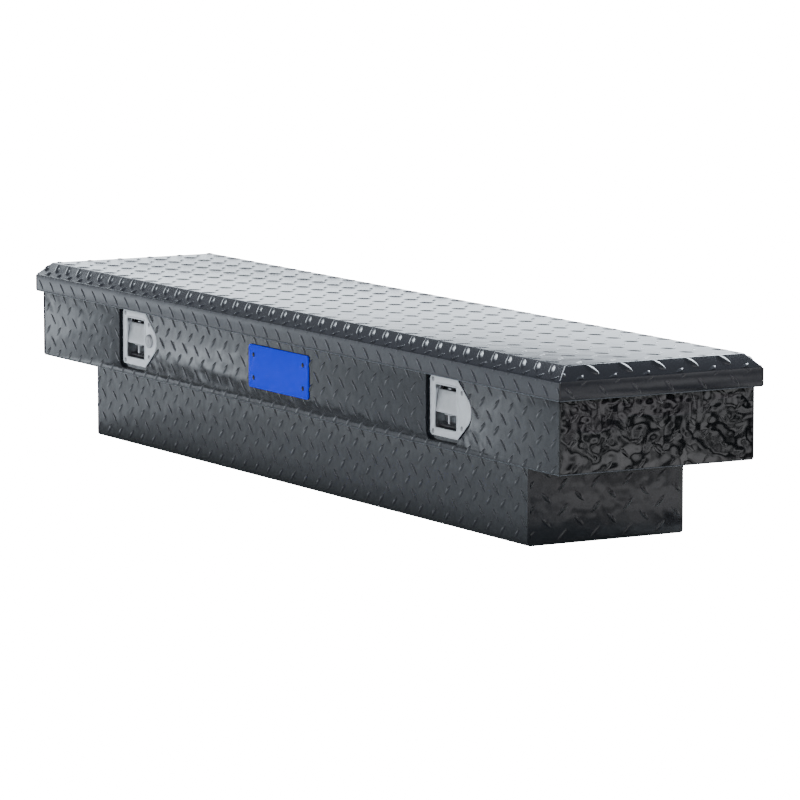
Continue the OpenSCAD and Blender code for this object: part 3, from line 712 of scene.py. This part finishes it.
def corner_seams(name, body, corner, low_z, high_z):
    """The dark weld line down each upright corner."""
    bm = bmesh.new()
    for sx in (-1, 1):
        for sy in (-1, 1):
            x, y = sx * (corner.x - SEAM_INSET), sy * (corner.y - SEAM_INSET)
            low, high = (x - SEAM_HALF, y - SEAM_HALF, low_z), (x + SEAM_HALF, y + SEAM_HALF, high_z)
            soft_block(bm, low, high, SEAM_R, 1)
    piece(bm, name, body, rivet_black, smooth=0.9)


body_corner = Vector((front_high.x, back_high.y, 0))
lid_shell()
corner_seams("lid_corner_seams", "lid", lid_high, lid_low.z + 0.002, bevel_z - 0.001)
corner_seams("body_corner_seams", "box", body_corner, front_low.z + 0.002, lid_low.z)
fold_strip("lid_fold_edge", "lid", lid_low, lid_high, lid_low.z - STRIP_DROP)
fold_strip("body_fold_edge", "box", front_low, body_corner, front_low.z - STRIP_DROP)
tread("lid_tread", "lid", lid_coat_painted_light, lid_faces())

# ------------------------------------------------------------------ upper body

latch_x = {s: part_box(f"latch_plate_{s}")[0].x + PLATE_LEFT for s, _ in SIDES}
latch_z = sum(c.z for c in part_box("latch_plate_left")) / 2
wall_mid = (front_low.z + front_high.z) / 2
wall_half = (front_high.z - front_low.z) / 2
wall_foot = BEND - wall_half
wall_reach = front_high.x - BEND
end_reach = -front_high.y + SHEET - BEND


def moved(outline, dx, dz):
    return [(x + dx, z + dz) for x, z in outline]


def body_front():
    """The front sheet, with an opening for each latch's recess."""
    bm = bmesh.new()
    openings = [moved(latch_outline(RECESS_MARGIN), x, latch_z) for x in latch_x.values()]
    outer = span(front_low.x, front_low.z, front_high.x, front_high.z)
    cut_plate(bm, outer, openings, front_low.y, front_high.y)
    folds = fold_edges(
        bm, lambda co: co.y < front_low.y + NEAR
        and (co.z < front_low.z + NEAR or abs(co.x) > front_high.x - NEAR)
    )
    round_edges(bm, folds, FOLD, 3)
    tall = PLATE_H / 2 + RECESS_MARGIN + 0.001
    cuts = fold_edges(
        bm, lambda co: co.y < front_low.y + NEAR and abs(co.x) < 0.7 and abs(co.z - latch_z) < tall
    )
    round_edges(bm, cuts, CUT_EDGE)
    piece(bm, "body_front", "box", body_coat, ["front_panel"])


def body_back():
    bm = bmesh.new()
    soft_block(bm, back_low, back_high)
    round_edges(bm, fold_edges(bm, lambda co: co.y > back_high.y - NEAR), FOLD, 3)
    piece(bm, "body_back", "box", body_coat, ["back_panel"])


def body_end(side):
    low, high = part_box(f"end_panel_{side}")
    out = high.x if side == "right" else low.x
    bm = bmesh.new()
    soft_block(bm, low, high)
    foot = fold_edges(bm, lambda co: abs(co.x - out) < NEAR and co.z < low.z + NEAR)
    round_edges(bm, foot, FOLD, 3)
    piece(bm, f"body_end_{side}", "box", end_coat_painted_shade, [f"end_panel_{side}"])


def front_holes():
    """Where the front's tread stops: under the name plate and at the latches' recesses."""
    badge = span(
        badge_low.x + BADGE_OVERLAP, badge_low.z + BADGE_OVERLAP - wall_mid,
        badge_high.x - BADGE_OVERLAP, badge_high.z - BADGE_OVERLAP - wall_mid,
    )
    margin = RECESS_MARGIN + 2 * CUT_EDGE
    return [badge, *(moved(latch_outline(margin), x, latch_z - wall_mid) for x in latch_x.values())]


body_front()
body_back()
hinge_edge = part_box("hinge_leaf_body")[0].z - 0.0005 - wall_mid
tread("body_front_tread", "box", body_coat, [
    face((0, front_y, wall_mid), (1, 0, 0), (0, 0, 1),
         span(-wall_reach, wall_foot, wall_reach, wall_half), WALL_PITCH, holes=front_holes()),
])
tread("body_back_tread", "box", body_coat, [
    face((0, back_y, wall_mid), (-1, 0, 0), (0, 0, 1),
         span(-wall_reach, wall_foot, wall_reach, hinge_edge), WALL_PITCH),
])
for side, s in SIDES:
    body_end(side)
    tread(f"body_end_tread_{side}", "box", end_coat_painted_shade, [
        face((s * front_high.x, 0, wall_mid), (0, s, 0), (0, 0, 1),
             span(-end_reach, wall_foot, end_reach, wall_half), END_PITCH),
    ])

# ------------------------------------------------------------------ lower tub

tub_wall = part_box("tub_end_left")[1].y + SHEET
tub_half = tub_high.z / 2


def runs_long(edge):
    return abs(edge.verts[0].co.x - edge.verts[1].co.x) > 0.1


def tub_skin():
    """Front, floor and back of the tub from one sheet, with the ledges along its mouth."""
    bm = bmesh.new()
    low, high, t = tub_low, tub_high, SHEET
    half, ledge, under = tub_wall, tub_high.y, tub_high.z - SHEET
    line = [
        (-ledge, under), (-half, under), (-half, low.z), (half, low.z), (half, under), (ledge, under),
        (ledge, high.z), (half - t, high.z), (half - t, low.z + t),
        (t - half, low.z + t), (t - half, high.z), (-ledge, high.z),
    ]
    drawn_out(bm, [(low.x, y, z) for y, z in line], (high.x - low.x, 0, 0))
    bends = fold_edges(bm, lambda co: abs(abs(co.y) - half) < NEAR and co.z < 0.001)
    round_edges(bm, [e for e in bends if runs_long(e)], TUB_BEND, 5)
    inner = fold_edges(bm, lambda co: abs(abs(co.y) - half + t) < NEAR and co.z < 0.01)
    round_edges(bm, [e for e in inner if runs_long(e)], TUB_BEND_INSIDE, 4)
    return piece(bm, "tub_skin", "box", body_coat, ["tub_shell"])


def tub_end_sheet(side):
    low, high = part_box(f"tub_end_{side}")
    bm = bmesh.new()
    soft_block(bm, low, high)
    corners = fold_edges(bm, lambda co: co.z < low.z + NEAR)
    corners = [e for e in corners if abs(e.verts[0].co.x - e.verts[1].co.x) > 1e-4]
    round_edges(bm, corners, TUB_BEND_INSIDE, 4)
    piece(bm, f"tub_end_sheet_{side}", "box", body_coat, [f"tub_end_{side}"])


def tub_end_faces(side, s):
    """A tub end, and the underside of the wing next to it with its clamp holes left clear."""
    half_y = tub_wall - TUB_BEND
    low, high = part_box(f"wing_floor_{side}")
    middle, half_x = (low.x + high.x) / 2, (high.x - low.x) / 2 - 0.004
    clamp_x = s * (front_high.x - CLAMP_INSET) - middle
    clamps = [
        rounded(CLAMP_HOLE, CLAMP_HOLE, CLAMP_HOLE / 2 - 0.0001, clamp_x, y) for y in (CLAMP_Y, -CLAMP_Y)
    ]
    return [
        face((s * tub_high.x, 0, tub_half), (0, s, 0), (0, 0, 1),
             span(-half_y, 0.004 - tub_half, half_y, tub_half - SHEET), END_PITCH, (0.010, 0.007)),
        face((middle, 0, low.z), (1, 0, 0), (0, -1, 0),
             span(-half_x, -high.y, half_x, high.y), WALL_PITCH, holes=clamps),
    ]


tub_skin()
tub_reach = tub_high.x - 0.0015
tread("tub_tread", "box", body_coat, [
    face((0, s * tub_wall, tub_half), (-s, 0, 0), (0, 0, 1),
         span(-tub_reach, TUB_BEND - tub_half, tub_reach, tub_half - SHEET), WALL_PITCH, (0.008, 0.011))
    for s in (-1, 1)
])
for side, s in SIDES:
    tub_end_sheet(side)
    tread(f"tub_end_tread_{side}", "box", body_coat, tub_end_faces(side, s))

# ------------------------------------------------------------------ name plate


def name_plate():
    """A plain plate with rounded corners. Its face is bare."""
    bm = bmesh.new()
    middle, size = (badge_low + badge_high) / 2, badge_high - badge_low
    outline = rounded(size.x, size.z, BADGE_CORNER_R, middle.x, middle.z)
    cut_plate(bm, outline, [], badge_low.y, badge_high.y, BADGE_EDGE, 3)
    piece(bm, "name_plate_face", "box", plate_blue, ["name_plate"])


def name_plate_rivets():
    bm = bmesh.new()
    low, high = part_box("name_plate_rivets")
    xs, zs = (low.x + RIVET_R, high.x - RIVET_R), (low.z + RIVET_R, high.z - RIVET_R)
    add_heads(bm, [(x, badge_low.y, z) for x in xs for z in zs], (0, -1, 0), RIVET_R, RIVET_H)
    piece(bm, "name_plate_rivet_heads", "box", rivet_black,
          ["name_plate_rivets"], smooth=0.9)


name_plate()
name_plate_rivets()

# ------------------------------------------------------------------ latches


def latch_plate(side, at):
    """The face plate, and the thin bead pressed round its window."""
    bm = bmesh.new()
    window = rounded(WINDOW_W, WINDOW_H, WINDOW_R)
    cut_plate(bm, latch_outline(0.0), [window], PLATE_Y, PLATE_Y + PLATE_T, PLATE_EDGE, 3)
    piece(bm, f"latch_face_{side}", "box", stainless, [f"latch_plate_{side}"], at=at)
    bm = bmesh.new()
    outer = rounded(WINDOW_W + 2 * BEAD, WINDOW_H + 2 * BEAD, WINDOW_R + BEAD)
    inner = rounded(WINDOW_W + 0.0004, WINDOW_H + 0.0004, WINDOW_R + 0.0002)
    cut_plate(bm, outer, [inner], PLATE_Y - 0.0007, PLATE_Y + 0.0002, 0.0006, 3)
    piece(bm, f"latch_window_bead_{side}", "box", stainless, at=at)


def latch_screws(side, at):
    bm = bmesh.new()
    left, right = 0.0095 - PLATE_LEFT, PLATE_RIGHT - 0.028
    places = [
        (x, PLATE_Y, s * z) for x, z in ((left, PLATE_H / 2 - 0.006), (right, 0.0275)) for s in (1, -1)
    ]
    add_heads(bm, places, (0, -1, 0), SCREW_R, SCREW_H, SCREW_DRIVE_R)
    piece(bm, f"latch_screw_heads_{side}", "box", fastener_steel,
          [f"latch_screws_{side}"], smooth=0.9, at=at)


def flap_sheet(bm, top, half):
    """The pull's tilted sheet, with a bent top and a curled lip at its foot."""
    tilt = math.radians(FLAP_TILT)
    down = Vector((0, -math.sin(tilt), -math.cos(tilt)))
    back = Vector((0, math.cos(tilt), -math.sin(tilt)))
    line = [top + back * 0.003 - down * 0.0008, top + back * 0.001]
    line += [top + down * FLAP_H * k / 6 for k in range(7)]
    foot = line[-1]
    for a in (math.pi / 2 * k / 6 for k in range(1, 7)):
        line.append(foot + (down * math.sin(a) + back * (1 - math.cos(a))) * FLAP_CURL)
    line.append(line[-1] + back * FLAP_CURL)
    swept(bm, [p - Vector((half, 0, 0)) for p in line], (2 * half, 0, 0))
    bmesh.ops.recalc_face_normals(bm, faces=bm.faces)
    if sum(f.normal.y for f in bm.faces) > 0:
        bmesh.ops.reverse_faces(bm, faces=bm.faces)
    bmesh.ops.solidify(bm, geom=bm.faces[:], thickness=FLAP_T)
    bmesh.ops.recalc_face_normals(bm, faces=bm.faces)
    round_edges(bm, fold_edges(bm, lambda co: True, least=1.2), 0.0003)


def pull_flap(side, at):
    """The pull: a formed flap, two turned-back ears round the pin, and a tail strap."""
    bm = bmesh.new()
    half = WINDOW_W / 2 - 0.0008
    top = Vector((0, PIN_Y - 0.0045, PIN_Z - 0.0031))
    flap_sheet(bm, top, half)
    ear_outline = hull(
        arc(PIN_Y, PIN_Z, EAR_R, 0, math.tau, 16)
        + [(top.y + 0.0004, top.z), (top.y - 0.0018, top.z - 0.014)]
    )
    for s in (-1, 1):
        ear = bmesh.new()
        drawn_out(ear, [(s * half, y, z) for y, z in ear_outline], (-s * EAR_T, 0, 0))
        add_in(bm, ear)
    strap = bmesh.new()
    low = (-STRAP_HALF, PIN_Y - 0.0042, PIN_Z - 0.001)
    soft_block(strap, low, (STRAP_HALF, PIN_Y + 0.022, PIN_Z + 0.001), 0.0005)
    add_in(bm, strap)
    piece(bm, f"pull_flap_{side}", f"paddle_{side}_body", stainless,
          [f"paddle_{side}"], smooth=0.9, at=at)


def dish_lining(side, at):
    """The lower half of the finger dish: a post with a cross bar, the back, and the foot in black as
    painted shade.
    """
    half, bottom = WINDOW_W / 2 - 0.0003, -WINDOW_H / 2
    bm = bmesh.new()
    soft_block(bm, (-0.0017, 0.0085, bottom + 0.007), (0.0017, 0.024, -0.0125), 0.0008)
    soft_block(bm, (-0.013, 0.0085, -0.0125), (0.013, 0.012, -0.0112), 0.0005)
    piece(bm, f"dish_rib_{side}", "box", stainless, smooth=0.9, at=at)
    bm = bmesh.new()
    soft_block(bm, (-half, 0.021, bottom + 0.002), (half, DISH_DEPTH, -0.006), 0.004, 3)
    piece(bm, f"dish_back_{side}", "box", pressed_stainless_painted_shade, smooth=0.9, at=at)
    # The foot is black as painted shade at the bottom of the dish.
    bm = bmesh.new()
    soft_block(bm, (-half, 0.010, bottom + 0.0002), (half, DISH_DEPTH, bottom + 0.006), 0.002, 3)
    piece(bm, f"dish_foot_painted_shade_{side}", "box", rivet_black, smooth=0.9, at=at)


def lock_face():
    """Barrel and round face of the lock, open for its plug."""
    bm = bmesh.new()
    low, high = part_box("lock_barrel")
    face_y, plate_y, end_y = low.y, front_y + PLATE_Y, high.y
    r, b, hole = (high.x - low.x) / 2, LOCK_BARREL_R, LOCK_HOLE_R
    profile = [
        (hole, end_y), (hole, face_y + 0.0006), (hole + 0.0006, face_y), (r - 0.0012, face_y),
        (r - 0.0004, face_y + 0.0004), (r, face_y + 0.0012), (r, plate_y), (b, plate_y), (b, end_y),
        (hole, end_y),
    ]
    turned(bm, profile, 32, ((low.x + high.x) / 2, 0, (low.z + high.z) / 2), (0, 1, 0))
    piece(bm, "lock_face", "box", fastener_steel, ["lock_barrel"], smooth=0.7)


for side, _ in SIDES:
    at = Vector((latch_x[side], front_y, latch_z))
    latch_plate(side, at)
    latch_screws(side, at)
    pull_flap(side, at)
    dish_lining(side, at)
lock_face()

# ------------------------------------------------------------------ seal and hinge


def seal_bulb():
    """A bulb strip on a flat base, all round the rim, with its corners mitred."""
    bm = bmesh.new()
    low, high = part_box("weather_seal")
    half = SEAL_W / 2
    middle_x, middle_y = high.x - half, high.y - half
    section = [(-half, 0.0), (half, 0.0), (half, 0.0014), (0.0032, 0.0020)]
    section += arc(0, high.z - low.z - SEAL_BULB_R, SEAL_BULB_R, -0.5, math.pi + 0.5, 12)
    section += [(-0.0032, 0.0020), (-half, 0.0014)]
    verts = [bm.verts.new((middle_x + u, -middle_y - u, low.z + v)) for u, v in section]
    first = ring = [bm.edges.new(pair) for pair in zip(verts, verts[1:] + verts[:1])]
    for sx, sy in ((1, 1), (-1, 1), (-1, -1)):
        grown = bmesh.ops.extrude_edge_only(bm, edges=ring)["geom"]
        verts = only(grown, bmesh.types.BMVert)
        ring = [e for e in only(grown, bmesh.types.BMEdge) if all(v in verts for v in e.verts)]
        for v in verts:
            u = abs(v.co.x) - middle_x
            v.co.x, v.co.y = sx * (middle_x + u), sy * (middle_y + u)
    bmesh.ops.bridge_loops(bm, edges=ring + first)
    bmesh.ops.recalc_face_normals(bm, faces=bm.faces)
    piece(bm, "seal_bulb", "box", seal_rubber, ["weather_seal"], smooth=0.9)


def hinge_rivet_heads():
    bm = bmesh.new()
    low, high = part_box("hinge_rivets")
    y, z = high.y - HINGE_RIVET_H, (low.z + high.z) / 2
    first, run = low.x + HINGE_RIVET_R, high.x - low.x - 2 * HINGE_RIVET_R
    places = [(first + run * k / (HINGE_RIVETS - 1), y, z) for k in range(HINGE_RIVETS)]
    add_heads(bm, places, (0, 1, 0), HINGE_RIVET_R, HINGE_RIVET_H)
    piece(bm, "hinge_rivet_heads", "box", hinge_steel, ["hinge_rivets"], smooth=0.9)


seal_bulb()
hinge_rivet_heads()

# ------------------------------------------------------------------ stage, light and camera

SEEN_WHITE = 20.0
FLOOR_GREY = 0.6
SKY_LIGHT = 0.36
LIGHT_COLOUR = (0.84, 0.92, 1.0)
MIDDLE = (0, 0, 0.2)


def on_stage(name, bm, material):
    """Puts a mesh on the stage, which isn't part of the tool box."""
    mesh = bpy.data.meshes.new(name)
    bm.to_mesh(mesh)
    bm.free()
    mesh.materials.append(material)
    made = bpy.data.objects.new(name, mesh)
    bpy.context.scene.collection.objects.link(made)
    return made


def panel(bm, wide, deep):
    """A flat panel, given as half sizes, facing up."""
    verts = bmesh.ops.create_grid(bm, x_segments=1, y_segments=1, size=1.0)["verts"]
    bmesh.ops.scale(bm, vec=(wide, deep, 1.0), verts=verts)
    return verts


def floor():
    """A pale floor that is white to look at and softer as a light."""
    material = bpy.data.materials.new("pale_floor")
    start = clear_tree(material)
    ray = start.node("ShaderNodeLightPath", out="Is Camera Ray")
    bright = start.node("ShaderNodeEmission", {"Color": (1, 1, 1, 1), "Strength": SEEN_WHITE})
    soft = start.node("ShaderNodeBsdfDiffuse", {"Color": shade((1, 1, 1), FLOOR_GREY)})
    mixed = start.node("ShaderNodeMixShader", {0: ray, 1: soft, 2: bright})
    start.node("ShaderNodeOutputMaterial", {"Surface": mixed})
    bm = bmesh.new()
    panel(bm, 40.0, 40.0)
    on_stage("floor", bm, material).location.z = -0.0005


def patch_board():
    """Boards off to the right with pale and dark patches, which the glossy end mirrors."""
    material = bpy.data.materials.new("board_patches")
    start = clear_tree(material)
    place = start.node("ShaderNodeTexCoord", out="Object")
    blots = start.node(
        "ShaderNodeTexNoise", {"Vector": place, "Scale": 3.2, "Detail": 3.0, "Roughness": 0.6}
    )
    lit = start.node("ShaderNodeValToRGB", {"Fac": blots}, stops=[(0.46, 0.0), (0.56, 1.0)])
    strength = lit * 1.7 + 0.01
    glow = start.node("ShaderNodeEmission", {"Color": (0.97, 0.97, 1.0, 1.0), "Strength": strength})
    start.node("ShaderNodeOutputMaterial", {"Surface": glow})
    bm = bmesh.new()
    upright = panel(bm, 2.0, 0.9)
    bmesh.ops.rotate(bm, cent=(0, 0, 0), matrix=Matrix.Rotation(math.pi / 2, 3, "X"), verts=upright)
    bmesh.ops.translate(bm, vec=(0, 1.6, 0.9), verts=upright)
    bmesh.ops.translate(bm, vec=(0, 0.95, 0.004), verts=panel(bm, 2.0, 1.15))
    aside = Matrix.Translation((1.0, 0.2, 0.0)) @ Matrix.Rotation(math.radians(-60), 4, "Z")
    bmesh.ops.transform(bm, matrix=aside, verts=bm.verts)
    made = on_stage("patch_board", bm, material)
    made.visible_camera = False
    made.visible_diffuse = False


def world():
    sky = bpy.data.worlds.new("sky")
    bpy.context.scene.world = sky
    start = clear_tree(sky)
    ray = start.node("ShaderNodeLightPath", out="Is Camera Ray")
    strength = ray * SEEN_WHITE + (1 - ray) * SKY_LIGHT
    back = start.node("ShaderNodeBackground", {"Color": (0.90, 0.95, 1.0, 1.0), "Strength": strength})
    start.node("ShaderNodeOutputWorld", {"Surface": back})


def soft_light(name, towards, distance, width, height, radiance, target=MIDDLE):
    """A rectangular light of a given radiance, aimed at the target."""
    light = bpy.data.lights.new(name, "AREA")
    light.shape, light.size, light.size_y = "RECTANGLE", width, height
    light.energy = radiance * math.pi * width * height
    light.color = LIGHT_COLOUR
    made = bpy.data.objects.new(name, light)
    way = Vector(towards).normalized()
    made.location = Vector(target) + way * distance
    made.rotation_euler = way.to_track_quat("Z", "Y").to_euler()
    made.visible_camera = False
    bpy.context.scene.collection.objects.link(made)


def camera():
    data = bpy.data.cameras.new("camera")
    data.lens, data.sensor_width, data.clip_end = 231.5, 36.0, 200.0
    made = bpy.data.objects.new("camera", data)
    made.location = (7.29, -4.1868, 1.239)
    yaw, pitch = math.radians(-59.81), math.radians(-7.49)
    look = Vector((math.sin(yaw) * math.cos(pitch), math.cos(yaw) * math.cos(pitch), math.sin(pitch)))
    made.rotation_euler = look.to_track_quat("-Z", "Y").to_euler()
    bpy.context.scene.collection.objects.link(made)
    bpy.context.scene.camera = made


floor()
patch_board()
world()
soft_light("low_backdrop", (-0.857, 0.499, 0.16), 7.0, 9.0, 2.4, 3.1)
soft_light("high_left", (-0.46, 0.03, 0.89), 9.0, 4.0, 3.6, 18.0)
soft_light("high_back", (-0.30, 0.73, 0.61), 4.5, 2.4, 2.0, 20.0)
soft_light("left_floor", (0, 0, -1), 0.02, 1.6, 1.0, 1.15, (-2.45, -0.95, 0.03))
soft_light("front_fill", (-0.5, -0.9, 0.16), 6.0, 4.0, 1.5, 0.55)
soft_light("right_front", (0.75, -0.75, 0.45), 6.0, 3.0, 2.0, 6.5)
soft_light("right_streak", (0.62, 0.77, 0.20), 4.5, 1.0, 1.0, 12.0)
camera()
